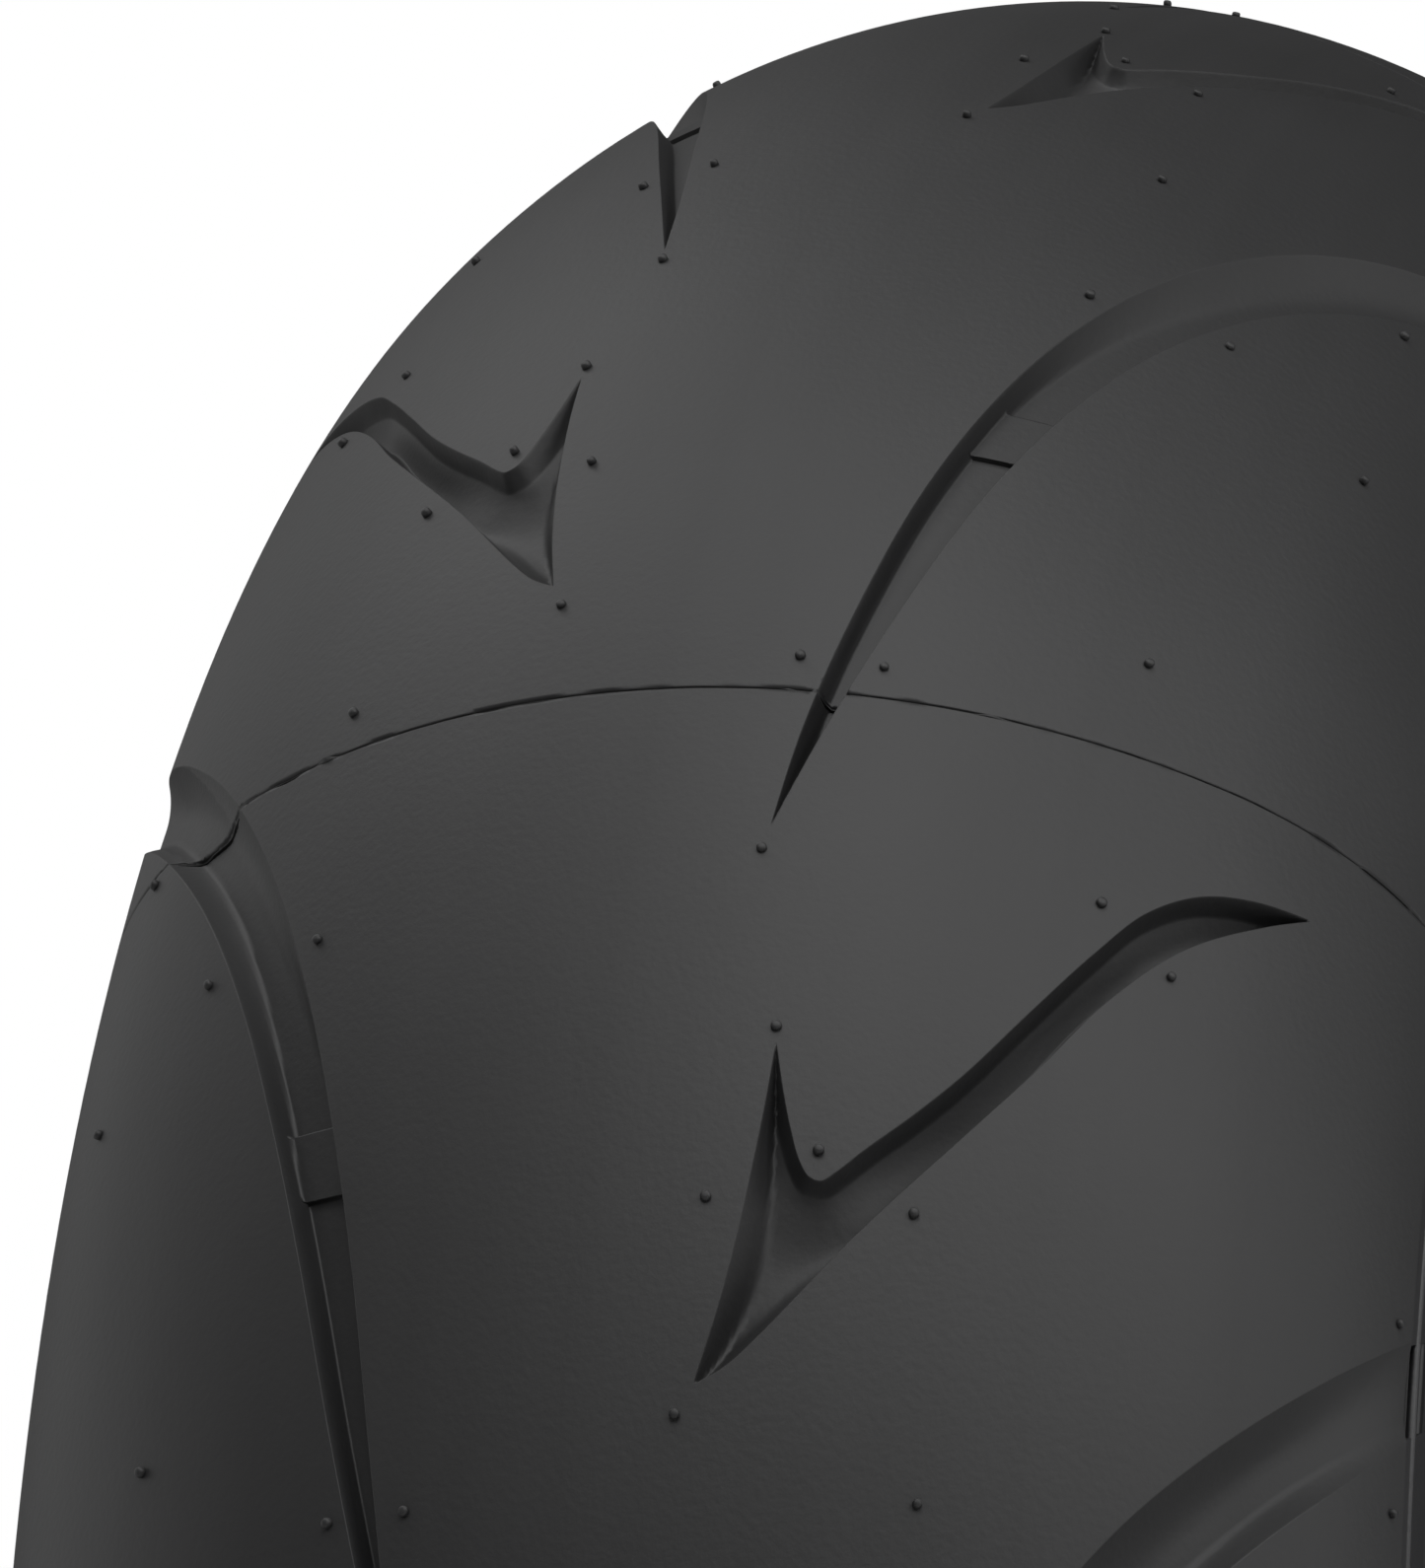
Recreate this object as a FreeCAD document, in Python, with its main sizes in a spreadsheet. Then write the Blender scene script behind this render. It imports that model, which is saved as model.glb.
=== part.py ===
import FreeCAD, Part
import Sketcher
import math
import os

# A tubeless radial rear tyre for a motorcycle, 190/50 on a 17 inch rim, built from the layers a real one has.
#
# The wheel turns about the Y axis and the origin is the wheel's centre. Every layer is drawn as an outline in
# a sketch, with the radius along its X and the tyre's width along its Y, and is turned about Y. A "slope" is
# the angle of the tread's outward normal, from the radial direction towards +Y: 0 at the crown and 75 degrees
# at the tread's edge. A "depth" is measured inwards along that normal.
#
# A place on the tread is given by two lengths in millimetres: "along", round the crown in the direction from
# +X to +Z, and "across", over the tread's surface from the crown's centre line.

DIMENSIONS = [
    ("tyre_radius", 311.0, "outside radius at the crown"),
    ("crown_radius", 111.0, "radius of the tread across the crown"),
    ("crown_slope", 40.0, "slope where the crown meets the shoulder"),
    ("shoulder_radius", 66.0, "radius of the tread across the shoulder"),
    ("edge_slope", 75.0, "slope at the tread's edge"),
    ("cap_thickness", 5.8, "tread rubber"),
    ("undertread_thickness", 1.2, "rubber between the tread and the belt"),
    ("belt_thickness", 1.1, "belt of steel cord wound round the tyre"),
    ("breaker_thickness", 0.8, "one breaker ply"),
    ("ply_thickness", 0.9, "one carcass ply"),
    ("liner_thickness", 1.0, "airtight inner liner, and the chafer that meets it"),
    ("belt_slope", 64.0, "slope at the belt's edge"),
    ("breaker_outer_slope", 67.0, "slope at the outer breaker's edge"),
    ("breaker_inner_slope", 70.0, "slope at the inner breaker's edge"),
    ("side_radius", 15.0, "radius of the outer ply where it turns in to the bead"),
    ("bead_offset", 68.0, "half the distance between the two bead cores"),
    ("bead_radius", 223.8, "radius of the bead core's centre line"),
    ("wrap_radius", 4.0, "section radius of the wrapped bead core"),
    ("core_radius", 3.3, "section radius of the six-sided bead core, to its corners"),
    ("turnup_slope", 110.0, "slope of the carcass where it turns up outside the bead"),
    ("turnup_gap", 1.5, "length by which the turn-up stops short of the carcass coming down"),
    ("ledge", 0.6, "step from the tread's edge down to the sidewall"),
    ("sidewall_upper_radius", 35.0, "section radius of the sidewall under the tread's edge"),
    ("sidewall_lower_radius", 12.0, "section radius of the sidewall over the rim flange"),
    ("sidewall_end_slope", 165.0, "slope where the sidewall meets the rim cushion"),
    ("flange_radius", 8.0, "section radius of the groove for the rim flange"),
    ("bead_face", 76.2, "half the distance between the rim flanges"),
    ("heel_radius", 3.5, "rounding of the bead's heel"),
    ("seat_radius", 215.9, "bead seat radius, half of 17 inches"),
    ("seat_start", 61.0, "inner end of the bead seat"),
    ("toe_offset", 59.6, "half the distance between the bead toes"),
    ("toe_radius", 217.2, "radius at the bead's toe"),
    ("pitch_count", 8, "times the tread pattern repeats on each side"),
    ("pattern_angle", 13.46, "where the first pitch of the +Y side starts, degrees from +X"),
    ("groove_clearance", 1.2, "height of the groove cutters above the tread"),
    ("groove_draft", 0.35, "how far a groove's wall leans in for each millimetre of depth"),
    ("wear_bar_start", 151.5, "where the wear bar starts in the long groove"),
    ("wear_bar_length", 10.5, "length of the wear bar"),
    ("wear_bar_across", 38.0, "how far across the tread the wear bar's centre is"),
    ("wear_bar_width", 31.5, "width of the wear bar's block, more than the groove is wide"),
    ("wear_bar_depth", 2.8, "depth from the tread to the wear bar's top"),
    ("seam_angle", 31.93, "place of the first mould seam, degrees from +X"),
    ("flash_width", 0.5, "width of the flash at a mould seam"),
    ("flash_height", 0.35, "height of the flash at a mould seam"),
    ("spew_radius", 0.7, "radius of a vent spew"),
    ("spew_height", 1.4, "height of a vent spew"),
    ("spew_foot", 0.5, "length by which a spew's cylinder starts inside the tread, before it is cut off"),
]

# The curved groove that crosses the shoulder. Each station joins a point on its inner edge to one on its
# outer edge: (along, across) of each, and the depth between them.
LONG_GROOVE = [
    ((77.2, 18.9), (77.5, 19.5), 0.3),
    ((88.1, 20.2), (88.6, 22.5), 1.6),
    ((109.8, 23.5), (108.6, 27.8), 3.0),
    ((138.8, 29.3), (134.5, 35.8), 4.0),
    ((167.1, 37.8), (161.4, 45.6), 4.0),
    ((195.8, 49.6), (189.0, 57.8), 4.0),
    ((221.5, 64.8), (211.5, 73.3), 4.0),
    ((242.1, 83.5), (230.5, 90.6), 4.0),
    ((257.7, 99.9), (245.4, 106.8), 3.8),
    ((271.4, 116.6), (254.6, 116.9), 3.2),
    ((276.0, 124.0), (259.5, 124.0), 1.2),
]

# The longer arm of the check-shaped groove nearer the crown.
CHECK_ARM = [
    ((-1.0, 17.4), (-1.2, 18.0), 0.3),
    ((8.6, 21.8), (5.6, 23.7), 2.0),
    ((19.0, 26.5), (14.4, 31.2), 3.6),
    ((27.7, 32.1), (21.8, 37.4), 4.0),
    ((36.8, 41.2), (31.6, 45.3), 4.0),
    ((52.5, 53.1), (47.4, 56.7), 4.0),
    ((66.3, 61.8), (62.4, 66.2), 4.0),
    ((77.4, 70.3), (73.4, 75.6), 3.8),
    ((83.0, 80.2), (79.6, 83.8), 2.6),
    ((85.1, 90.6), (84.5, 90.9), 0.3),
]

# The shorter arm of the same groove, which lies along the crown.
CHECK_SPIKE = [
    ((-1.0, 17.4), (-1.2, 18.0), 0.3),
    ((8.7, 19.6), (7.6, 24.0), 1.8),
    ((18.6, 21.1), (17.6, 31.0), 3.4),
    ((28.0, 22.2), (26.6, 30.3), 3.4),
    ((36.2, 23.1), (36.4, 26.0), 2.0),
    ((45.4, 23.3), (45.2, 23.8), 0.3),
]

# Vent holes of the mould in one pitch of the pattern, as (along, across).
SPEWS = [
    (-4.9, 15.4), (23.8, 17.0), (47.9, 23.4), (74.2, 18.4), (106.0, 18.8), (105.4, 29.7),
    (30.9, 30.3), (23.6, 42.7), (74.4, 61.9), (66.1, 72.2), (29.1, 114.3), (117.0, 63.0),
    (190.0, 42.9), (190.0, 63.0), (176.0, 86.2), (229.5, 45.5), (220.0, 85.0), (242.6, 114.8),
]

# Most of a groove's width that each of its walls may take, where the groove is too narrow for the full draft.
FLOOR_INSET = 0.3

AXIS = FreeCAD.Vector(0, 1, 0)
SIDES = {"right": 1, "left": -1}

doc = FreeCAD.newDocument("MotorcycleTyre")
sheet = doc.addObject("Spreadsheet::Sheet", "Dims")
for row, (alias, value, meaning) in enumerate(DIMENSIONS, start=1):
    sheet.set(f"A{row}", meaning)
    sheet.set(f"B{row}", str(value))
    sheet.setAlias(f"B{row}", alias)
doc.recompute()


def dim(alias):
    """A driving dimension, read from the spreadsheet."""
    return float(sheet.get(alias))


# ---------------------------------------------------------------- places in the tyre's section

def slope_vector(slope):
    """Unit vector, as (radius, width), of a normal at this slope."""
    angle = math.radians(slope)
    return FreeCAD.Vector(math.cos(angle), math.sin(angle), 0)


def mirrored(point, side):
    """The same place on the +Y or the -Y half of the tyre."""
    return FreeCAD.Vector(point.x, side * point.y, 0)


CROWN = FreeCAD.Vector(dim("tyre_radius") - dim("crown_radius"), 0, 0)
SHOULDER = CROWN + slope_vector(dim("crown_slope")) * (dim("crown_radius") - dim("shoulder_radius"))
BEAD = FreeCAD.Vector(dim("bead_radius"), dim("bead_offset"), 0)

# Depths of the layers' outer faces under the crown, from the tread inwards.
UNDERTREAD = dim("cap_thickness")
BELT = UNDERTREAD + dim("undertread_thickness")
BREAKER_OUTER = BELT + dim("belt_thickness")
BREAKER_INNER = BREAKER_OUTER + dim("breaker_thickness")
CARCASS = BREAKER_INNER + dim("breaker_thickness")

# The carcass leaves the shoulder's arc for a smaller one, runs straight towards the bead and turns round it.
SIDE = SHOULDER + slope_vector(dim("edge_slope")) * (dim("shoulder_radius") - CARCASS - dim("side_radius"))
TO_BEAD = BEAD - SIDE
SIDE_END = math.degrees(
    math.atan2(TO_BEAD.y, TO_BEAD.x) % (2 * math.pi)
    - math.acos((dim("side_radius") + dim("wrap_radius")) / TO_BEAD.Length)
)
BEAD_ENTRY = SIDE_END - 180
BEAD_EXIT = dim("turnup_slope") - 360


def turnup_heading():
    """Direction in which the carcass runs up outside the bead."""
    slope = math.radians(dim("turnup_slope"))
    return FreeCAD.Vector(math.sin(slope), -math.cos(slope), 0)


# Signed distance of the straight run's outer face from the axis, along the normal it has there.
INWARD = slope_vector(SIDE_END)
REACH = INWARD.dot(SIDE) + dim("side_radius")


def turnup_length():
    """Length of the turn-up, which stops short of the place where it would meet the carcass coming down."""
    start = BEAD + slope_vector(BEAD_EXIT) * dim("wrap_radius")
    return (REACH - INWARD.dot(start)) / INWARD.dot(turnup_heading()) - dim("turnup_gap")


TURNUP = turnup_length()


# ---------------------------------------------------------------- outlines and turned rings

class Outline:
    """A closed outline of lines and arcs in the section, with the sheet expression for each arc's radius."""

    def __init__(self, side=1):
        self.side = side
        self.pieces = []

    def line(self, start, end):
        if (end - start).Length > 1e-9:
            self.pieces.append(("line", mirrored(start, self.side), mirrored(end, self.side), None))
        return self

    def arc(self, centre, radius, start, end, expression=None):
        """An arc about a centre from one slope to another, in the +Y half's terms."""
        if self.side < 0:
            start, end = -start, -end
        self.pieces.append(("arc", mirrored(centre, self.side), (radius, start, end), expression))
        return self

    def circle(self, centre, radius, expression):
        """A full circle, which is an outline of its own."""
        self.pieces.append(("circle", mirrored(centre, self.side), radius, expression))
        return self

    def draw(self, sketch):
        """Adds the outline to a sketch, joined end to end, with its arcs' radii bound to the sheet."""
        ends = []
        for kind, first, second, expression in self.pieces:
            if kind == "line":
                index = sketch.addGeometry(Part.LineSegment(first, second), False)
                ends.append((index, 1, 2))
                continue
            if kind == "circle":
                index = sketch.addGeometry(Part.Circle(first, FreeCAD.Vector(0, 0, 1), second), False)
                constraint = sketch.addConstraint(Sketcher.Constraint("Radius", index, second))
                sketch.setExpression(f"Constraints[{constraint}]", expression)
                continue
            radius, start, end = second
            circle = Part.Circle(first, FreeCAD.Vector(0, 0, 1), radius)
            low, high = sorted((math.radians(start), math.radians(end)))
            index = sketch.addGeometry(Part.ArcOfCircle(circle, low, high), False)
            ends.append((index, 1, 2) if end > start else (index, 2, 1))
            if expression:
                constraint = sketch.addConstraint(Sketcher.Constraint("Radius", index, radius))
                sketch.setExpression(f"Constraints[{constraint}]", expression)
        for here, there in zip(ends, ends[1:] + ends[:1]):
            sketch.addConstraint(Sketcher.Constraint("Coincident", here[0], here[2], there[0], there[1]))


def turned_ring(name, *outlines):
    """A PartDesign body: one outline, or several, turned a full circle about the wheel's axis."""
    body = doc.addObject("PartDesign::Body", name)
    body.Label = name
    plane = [item for item in body.Origin.OriginFeatures if item.Role == "XY_Plane"][0]
    sketch = body.newObject("Sketcher::SketchObject", name + "_section")
    sketch.AttachmentSupport = (plane, [""])
    sketch.MapMode = "FlatFace"
    for outline in outlines:
        outline.draw(sketch)
    doc.recompute()
    turn = body.newObject("PartDesign::Revolution", name + "_turn")
    turn.Profile = sketch
    turn.ReferenceAxis = (sketch, ["V_Axis"])
    turn.Angle = 360
    body.Tip = turn
    doc.recompute()
    return body


def depth_expression(base, depth):
    """An arc's radius in the sheet's terms: a tread radius less a depth made of named layers."""
    layers = [
        (UNDERTREAD, "cap_thickness"), (BELT, "undertread_thickness"), (BREAKER_OUTER, "belt_thickness"),
        (BREAKER_INNER, "breaker_thickness"), (CARCASS, "breaker_thickness"),
    ]
    names = [name for end, name in layers if end <= depth + 1e-9]
    return " - ".join(f"Dims.{name}" for name in [base] + names)


def crown_arcs(outline, depth, low, high, extra=""):
    """Adds the arcs of the surface at this depth, from one slope to another, across the crown."""
    change = dim("crown_slope")
    crown, shoulder = dim("crown_radius") - depth, dim("shoulder_radius") - depth
    crown_text = depth_expression("crown_radius", depth) + extra
    shoulder_text = depth_expression("shoulder_radius", depth) + extra
    changes = sorted((-change, change), reverse=high < low)
    stops = [low] + [slope for slope in changes if min(low, high) < slope < max(low, high)]
    for start, end in zip(stops, stops[1:] + [high]):
        middle = (start + end) / 2
        if abs(middle) < change:
            outline.arc(CROWN, crown, start, end, crown_text)
        else:
            centre = mirrored(SHOULDER, 1 if middle > 0 else -1)
            outline.arc(centre, shoulder, start, end, shoulder_text)
    return outline


def tread_point(depth, slope):
    """A point of the section at this slope, this deep under the tread."""
    change = dim("crown_slope")
    if abs(slope) <= change:
        return CROWN + slope_vector(slope) * (dim("crown_radius") - depth)
    side = 1 if slope > 0 else -1
    return mirrored(SHOULDER, side) + slope_vector(slope) * (dim("shoulder_radius") - depth)


def crown_band(depth, thickness, slope):
    """A band across the whole crown, between two depths, out to this slope on both sides."""
    inner = depth + thickness
    outline = crown_arcs(Outline(), depth, -slope, slope)
    outline.line(tread_point(depth, slope), tread_point(inner, slope))
    crown_arcs(outline, inner, slope, -slope)
    return outline.line(tread_point(inner, -slope), tread_point(depth, -slope))


def edge_strip(side):
    """The strip of gum that fills the steps at the edges of the belt and breakers."""
    edge = dim("edge_slope")
    steps = [
        (BELT, dim("belt_slope")), (BREAKER_OUTER, dim("breaker_outer_slope")),
        (BREAKER_INNER, dim("breaker_inner_slope")),
    ]
    shoulder = dim("shoulder_radius")
    outline = Outline(side)
    outline.arc(SHOULDER, shoulder - BELT, steps[0][1], edge, depth_expression("shoulder_radius", BELT))
    outline.line(tread_point(BELT, edge), tread_point(CARCASS, edge))
    text = depth_expression("shoulder_radius", CARCASS)
    outline.arc(SHOULDER, shoulder - CARCASS, edge, steps[-1][1], text)
    outline.line(tread_point(CARCASS, steps[-1][1]), tread_point(BREAKER_INNER, steps[-1][1]))
    for (_, outer_slope), (depth, slope) in zip(reversed(steps[:-1]), reversed(steps[1:])):
        text = depth_expression("shoulder_radius", depth)
        outline.arc(SHOULDER, shoulder - depth, slope, outer_slope, text)
        above = max(d for d, s in steps if s == outer_slope)
        outline.line(tread_point(depth, outer_slope), tread_point(above, outer_slope))
    return outline


# ---------------------------------------------------------------- carcass, liner and beads

def wall_point(offset, slope, centre):
    """A point on the side or bead arc of the carcass, this far in from the outer ply's outer face."""
    if centre is SIDE:
        return SIDE + slope_vector(slope) * (dim("side_radius") - offset)
    return BEAD + slope_vector(slope) * (dim("wrap_radius") + offset)


def carcass_surface(outline, offset, side, bead_end, inwards, extra):
    """Adds one half of a carcass surface, from the bead to the tread's edge or back."""
    side_text = "Dims.side_radius" + extra
    bead_text = "Dims.wrap_radius" + extra.replace("-", "+")
    side_radius, wrap_radius = dim("side_radius") - offset, dim("wrap_radius") + offset
    centres = mirrored(BEAD, side), mirrored(SIDE, side)
    bead_arc = (side * bead_end, side * BEAD_ENTRY)
    side_arc = (side * SIDE_END, side * dim("edge_slope"))
    leg = [
        mirrored(wall_point(offset, BEAD_ENTRY, BEAD), side),
        mirrored(wall_point(offset, SIDE_END, SIDE), side),
    ]
    turn_start = mirrored(wall_point(offset, bead_end, BEAD), side)
    turn_end = mirrored(wall_point(offset, bead_end, BEAD) + turnup_heading() * TURNUP, side)
    turned_up = bead_end == BEAD_EXIT
    if not inwards:
        if turned_up:
            outline.line(turn_end, turn_start)
        outline.arc(centres[0], wrap_radius, *bead_arc, bead_text)
        outline.line(leg[0], leg[1])
        outline.arc(centres[1], side_radius, *side_arc, side_text)
    else:
        outline.arc(centres[1], side_radius, *reversed(side_arc), side_text)
        outline.line(leg[1], leg[0])
        outline.arc(centres[0], wrap_radius, *reversed(bead_arc), bead_text)
        if turned_up:
            outline.line(turn_start, turn_end)
    return outline


def wall_layer(offset, thickness, bead_end, extra_outer, extra_inner):
    """A layer that runs from bead to bead over the crown, at this offset inside the outer ply's face."""
    edge = dim("edge_slope")
    outline = Outline()
    carcass_surface(outline, offset, -1, bead_end, False, extra_outer)
    crown_arcs(outline, CARCASS + offset, -edge, edge, extra_outer)
    carcass_surface(outline, offset, 1, bead_end, True, extra_outer)
    inner = offset + thickness
    lift = turnup_heading() * (TURNUP if bead_end == BEAD_EXIT else 0)
    ends = [wall_point(o, bead_end, BEAD) + lift for o in (offset, inner)]
    outline.line(ends[0], ends[1])
    carcass_surface(outline, inner, 1, bead_end, False, extra_inner)
    crown_arcs(outline, CARCASS + inner, edge, -edge, extra_inner)
    carcass_surface(outline, inner, -1, bead_end, True, extra_inner)
    return outline.line(mirrored(ends[1], -1), mirrored(ends[0], -1))


PLIES = 2 * dim("ply_thickness")
WALL = PLIES + dim("liner_thickness")
LINER_END = -90.0
SIDE_TEXT = {
    0: "",
    1: " - Dims.ply_thickness",
    2: " - 2 * Dims.ply_thickness",
    3: " - 2 * Dims.ply_thickness - Dims.liner_thickness",
}


def bead_core(side):
    """The six-sided bundle of bead wire."""
    corners = [BEAD + slope_vector(60 * step) * dim("core_radius") for step in range(6)]
    outline = Outline(side)
    for start, end in zip(corners, corners[1:] + corners[:1]):
        outline.line(start, end)
    return outline


def bead_wrap(side):
    """The tape wrapped round the bead core."""
    return Outline(side).circle(BEAD, dim("wrap_radius"), "Dims.wrap_radius")


def filler_top():
    """The bead filler's upper corner, on the carcass and level with the end of the turn-up."""
    across = slope_vector(BEAD_EXIT)
    corner = wall_point(0, BEAD_EXIT, BEAD) + turnup_heading() * TURNUP
    return corner - across * ((INWARD.dot(corner) - REACH) / INWARD.dot(across))


def bead_filler(side):
    """The hard rubber wedge between the carcass coming down and its turn-up."""
    corner = wall_point(0, BEAD_EXIT, BEAD) + turnup_heading() * TURNUP
    outline = Outline(side).arc(BEAD, dim("wrap_radius"), BEAD_EXIT + 360, BEAD_ENTRY, "Dims.wrap_radius")
    outline.line(wall_point(0, BEAD_ENTRY, BEAD), filler_top()).line(filler_top(), corner)
    return outline.line(corner, wall_point(0, BEAD_EXIT, BEAD))


def chafer(side):
    """The strip of woven fabric round the bead, outside the plies."""
    inner, outer = dim("wrap_radius") + PLIES, dim("wrap_radius") + WALL
    start = [wall_point(offset, LINER_END, BEAD) for offset in (PLIES, WALL)]
    turn = [wall_point(offset, BEAD_EXIT, BEAD) for offset in (PLIES, WALL)]
    end = [point + turnup_heading() * TURNUP for point in turn]
    outline = Outline(side)
    outline.arc(BEAD, inner, LINER_END, BEAD_EXIT, "Dims.wrap_radius + 2 * Dims.ply_thickness")
    outline.line(turn[0], end[0]).line(end[0], end[1]).line(end[1], turn[1])
    text = "Dims.wrap_radius + 2 * Dims.ply_thickness + Dims.liner_thickness"
    outline.arc(BEAD, outer, BEAD_EXIT, LINER_END, text)
    return outline.line(start[1], start[0])


def sidewall_shape():
    """Centres and end points of the sidewall's outer surface: (start, upper centre, lower centre, end)."""
    edge = slope_vector(dim("edge_slope"))
    start = tread_point(dim("ledge"), dim("edge_slope"))
    upper = start - edge * dim("sidewall_upper_radius")
    widest = upper + slope_vector(90) * dim("sidewall_upper_radius")
    lower = widest - slope_vector(90) * dim("sidewall_lower_radius")
    end = lower + slope_vector(dim("sidewall_end_slope")) * dim("sidewall_lower_radius")
    return start, upper, lower, end


def sidewall(side):
    """The flexing rubber between the tread's edge and the rim cushion."""
    start, upper, lower, end = sidewall_shape()
    edge = dim("edge_slope")
    outline = Outline(side)
    outline.arc(upper, dim("sidewall_upper_radius"), edge, 90, "Dims.sidewall_upper_radius")
    lower_radius = dim("sidewall_lower_radius")
    outline.arc(lower, lower_radius, 90, dim("sidewall_end_slope"), "Dims.sidewall_lower_radius")
    turnup_end = wall_point(WALL, BEAD_EXIT, BEAD) + turnup_heading() * TURNUP
    outline.line(end, turnup_end).line(turnup_end, filler_top())
    outline.line(filler_top(), wall_point(0, SIDE_END, SIDE))
    outline.arc(SIDE, dim("side_radius"), SIDE_END, edge, "Dims.side_radius")
    return outline.line(wall_point(0, edge, SIDE), start)


def rim_cushion(side):
    """The hard rubber that seals against the rim: the flange groove, heel, seat and toe of the bead."""
    end_slope = dim("sidewall_end_slope")
    face = slope_vector(end_slope)
    start = sidewall_shape()[3]
    flange_width = dim("bead_face") + dim("flange_radius")
    flange_height = (face.dot(start) + dim("flange_radius") - face.y * flange_width) / face.x
    flange = FreeCAD.Vector(flange_height, flange_width, 0)
    heel = FreeCAD.Vector(dim("seat_radius") + dim("heel_radius"), dim("bead_face") - dim("heel_radius"), 0)
    seat = FreeCAD.Vector(dim("seat_radius"), dim("seat_start"), 0)
    toe = FreeCAD.Vector(dim("toe_radius"), dim("toe_offset"), 0)
    top = wall_point(WALL, LINER_END, BEAD)
    outline = Outline(side)
    outline.line(start, flange - face * dim("flange_radius"))
    outline.arc(flange, dim("flange_radius"), end_slope - 180, -90, "Dims.flange_radius")
    outline.line(
        FreeCAD.Vector(flange_height, dim("bead_face"), 0), FreeCAD.Vector(heel.x, dim("bead_face"), 0)
    )
    outline.arc(heel, dim("heel_radius"), 90, 180, "Dims.heel_radius")
    outline.line(FreeCAD.Vector(dim("seat_radius"), heel.y, 0), seat).line(seat, toe).line(toe, top)
    text = "Dims.wrap_radius + 2 * Dims.ply_thickness + Dims.liner_thickness"
    outline.arc(BEAD, dim("wrap_radius") + WALL, LINER_END, BEAD_EXIT, text)
    turn = wall_point(WALL, BEAD_EXIT, BEAD)
    outline.line(turn, turn + turnup_heading() * TURNUP)
    return outline.line(turn + turnup_heading() * TURNUP, start)


# ---------------------------------------------------------------- the tread pattern

def on_tread(place, height, side):
    """The point above a place on the tread, and the tread's normal there, for the first pitch of one side."""
    along, across = place
    change = math.radians(dim("crown_slope"))
    flat = dim("crown_radius") * change
    slope = across / dim("crown_radius")
    if across > flat:
        slope = change + (across - flat) / dim("shoulder_radius")
    section = tread_point(-height, math.degrees(slope))
    turn = math.radians(dim("pattern_angle")) + along / dim("tyre_radius")
    if side < 0:
        turn += math.pi / dim("pitch_count")
    lean = math.cos(slope)
    normal = FreeCAD.Vector(lean * math.cos(turn), side * math.sin(slope), lean * math.sin(turn))
    point = FreeCAD.Vector(section.x * math.cos(turn), side * section.y, section.x * math.sin(turn))
    return point, normal


def groove_section(inner, outer, depth, side):
    """Corners of a groove at one station: its two lips, raised above the tread, and its floor's two edges."""
    clearance = dim("groove_clearance")
    width = math.dist(inner, outer)
    share = min(dim("groove_draft") * depth, FLOOR_INSET * width) / width
    floor_inner = tuple(a + share * (b - a) for a, b in zip(inner, outer))
    floor_outer = tuple(b - share * (b - a) for a, b in zip(inner, outer))
    places = ((inner, clearance), (outer, clearance), (floor_outer, -depth), (floor_inner, -depth))
    return [on_tread(place, height, side)[0] for place, height in places]


def triangle(*corners):
    """A flat three-cornered face."""
    return Part.Face(Part.makePolygon([*corners, corners[0]]))


def groove_cutter(stations, side):
    """One groove's solid: flat facets between the sections at its stations."""
    sections = [groove_section(*station, side) for station in stations]
    faces = []
    for here, there in zip(sections, sections[1:]):
        for corner in range(4):
            following = (corner + 1) % 4
            faces.append(triangle(here[corner], here[following], there[following]))
            faces.append(triangle(here[corner], there[following], there[corner]))
    for end in (sections[0], sections[-1]):
        faces += [triangle(end[0], end[1], end[2]), triangle(end[0], end[2], end[3])]
    solid = Part.Solid(Part.Shell(faces))
    if solid.Volume < 0:
        solid.reverse()
    return solid


def wear_bar_block(side):
    """The block that stays in the long groove as its wear bar."""
    start, length, across = dim("wear_bar_start"), dim("wear_bar_length"), dim("wear_bar_across")
    width, height = dim("wear_bar_width"), dim("cap_thickness")
    centre, normal = on_tread((start + length / 2, across), -dim("wear_bar_depth"), side)
    block = Part.makeBox(length, width, height, FreeCAD.Vector(-length / 2, -width / 2, -height))
    along = FreeCAD.Vector(-centre.z, 0, centre.x)
    block.Placement = FreeCAD.Placement(centre, FreeCAD.Rotation(along, FreeCAD.Vector(), normal, "ZXY"))
    return block


def every_pitch(shape, count):
    """The same shape at every pitch round the tyre."""
    copies = []
    for index in range(int(count)):
        copy = shape.copy()
        copy.rotate(FreeCAD.Vector(0, 0, 0), AXIS, 360.0 / count * index)
        copies.append(copy)
    return copies


def groove_cutters(side):
    """All the grooves of one side of the tread."""
    count = dim("pitch_count")
    long_groove = groove_cutter(LONG_GROOVE, side).cut(wear_bar_block(side))
    check = groove_cutter(CHECK_ARM, side).fuse(groove_cutter(CHECK_SPIKE, side))
    return every_pitch(long_groove, count) + every_pitch(check, count)


def tread_solid(height):
    """The solid inside the tread's surface, raised by this height, as a plain body of revolution."""
    edge = dim("edge_slope")
    change = dim("crown_slope")
    edges = []
    for low, high in ((-edge, -change), (-change, change), (change, edge)):
        points = [tread_point(-height, slope) for slope in (low, (low + high) / 2, high)]
        edges.append(Part.Arc(*points).toShape())
    first, last = tread_point(-height, -edge), tread_point(-height, edge)
    floor_radius = dim("tyre_radius") - dim("crown_radius")
    floor = [FreeCAD.Vector(floor_radius, last.y, 0), FreeCAD.Vector(floor_radius, first.y, 0)]
    for start, end in ((last, floor[0]), (floor[0], floor[1]), (floor[1], first)):
        edges.append(Part.LineSegment(start, end).toShape())
    face = Part.Face(Part.Wire(edges))
    return face.revolve(FreeCAD.Vector(0, 0, 0), AXIS, 360)


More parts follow.
